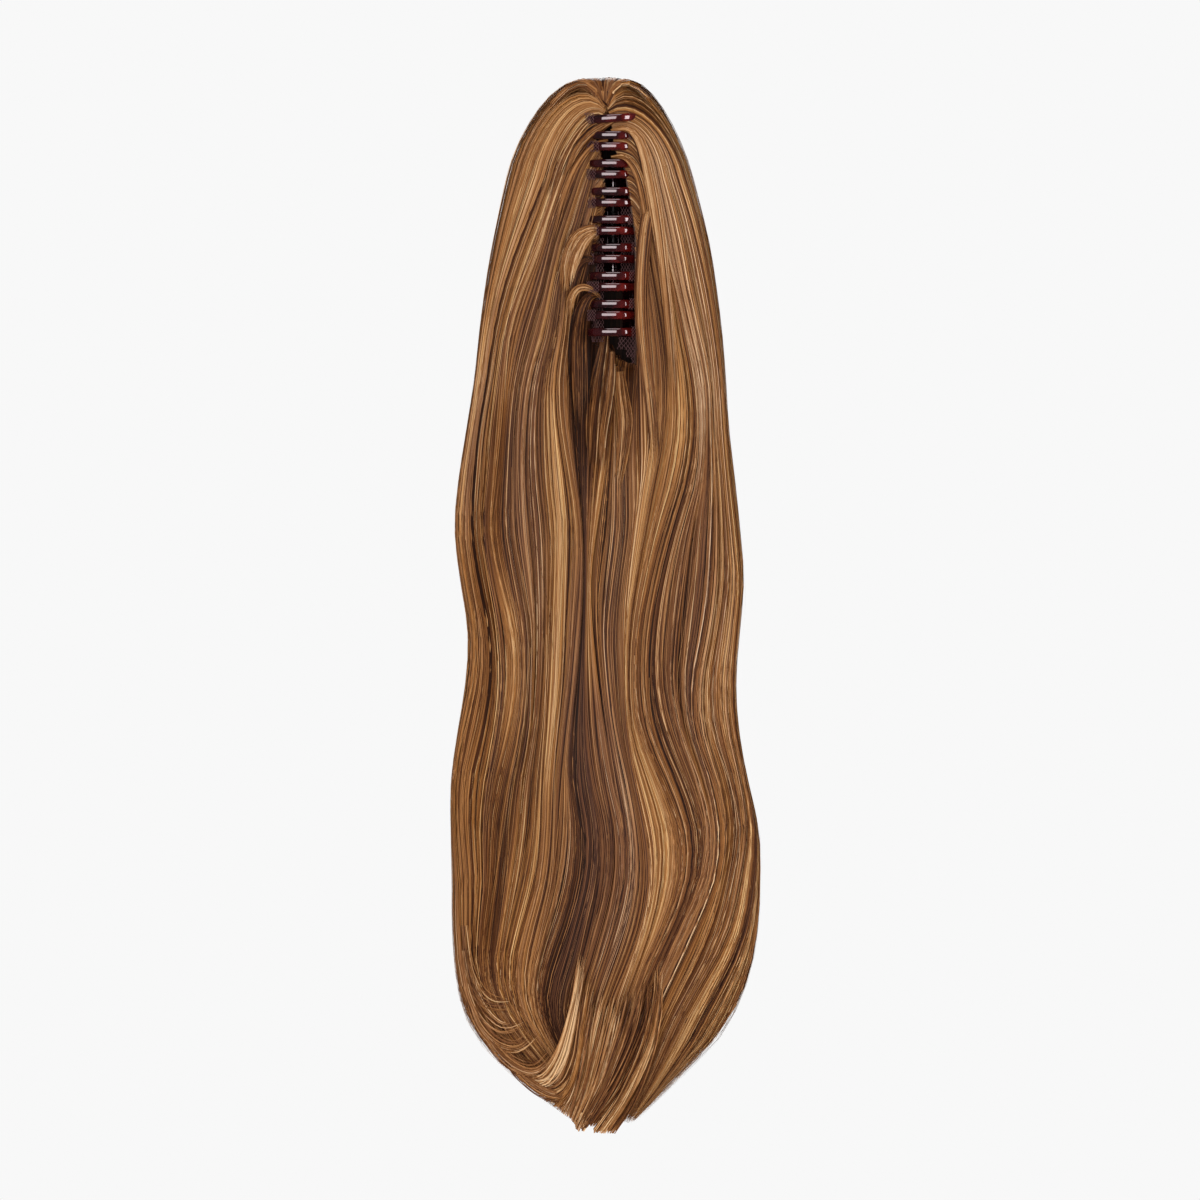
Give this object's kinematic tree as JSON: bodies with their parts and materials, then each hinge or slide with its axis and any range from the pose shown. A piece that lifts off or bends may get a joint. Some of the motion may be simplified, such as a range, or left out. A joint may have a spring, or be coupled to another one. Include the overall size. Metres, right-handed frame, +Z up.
{
  "type": "ponytail hairpiece",
  "caption": "Long wavy highlighted ponytail hairpiece on a sprung claw clip with interleaving teeth, hair sewn round both jaws.",
  "frame": {"origin": "middle of the claw's bite, between the two jaws, where it grips the wearer's own ponytail", "axes": "+Z up along the hinge pin and the hanging hair, -Y towards the wearer's head, where the teeth are, +X to the right as seen from the head side"},
  "size_m": [0.1625, 0.0843, 0.545],
  "materials": {
    "tortoiseshell": "dark red-brown gloss",
    "steel": "plain",
    "netting": "dark elastic net",
    "hair": "brown fibre with golden highlights"
  },
  "bodies": {
    "left_half": {"claw_jaw_left": "tortoiseshell", "hinge_pin": "steel", "torsion_spring": "steel", "net_left": "netting", "hair_left": "hair"},
    "right_half": {"claw_jaw_right": "tortoiseshell", "net_right": "netting", "hair_right": "hair"}
  },
  "joints": [
    {"name": "claw_hinge", "type": "hinge", "parent": "left_half", "child": "right_half", "pos_m": [0, 0.018, 0], "axis": [0, 0, 1], "range_deg": [0, 50], "stiffness_Nm_per_rad": 0.15, "springref_deg": -20.05, "deforming": ["torsion_spring"]}
  ]
}
